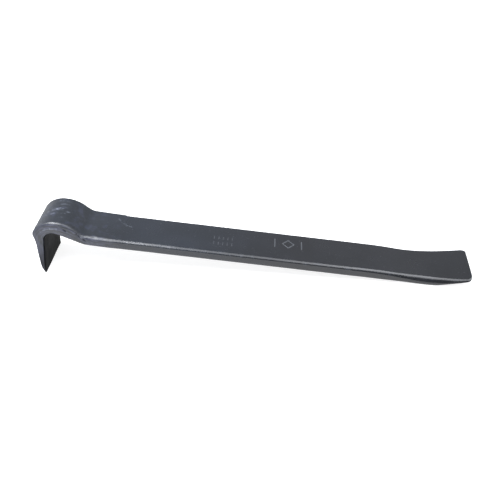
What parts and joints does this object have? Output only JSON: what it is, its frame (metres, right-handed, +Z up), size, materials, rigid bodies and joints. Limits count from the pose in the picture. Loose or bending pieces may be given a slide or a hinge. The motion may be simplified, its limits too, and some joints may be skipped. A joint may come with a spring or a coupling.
{
  "type": "pry bar",
  "caption": "Flat forged pry bar: straight slab shank, gooseneck hook with a flared cutting edge at one end, upturned bevelled chisel at the other.",
  "frame": {"origin": "centre of the bounding box in plan, on the surface the bar lies on: it rests on its hook's cutting edge and its chisel's heel", "axes": "+X along the bar from the hook to the chisel, +Y across the width, +Z up"},
  "size_m": [0.3836, 0.0446, 0.0545],
  "materials": {
    "coated_steel": "satin dark blue-grey coating over forged steel"
  },
  "bodies": {
    "root": {"forged_bar": "coated_steel"}
  },
  "joints": []
}
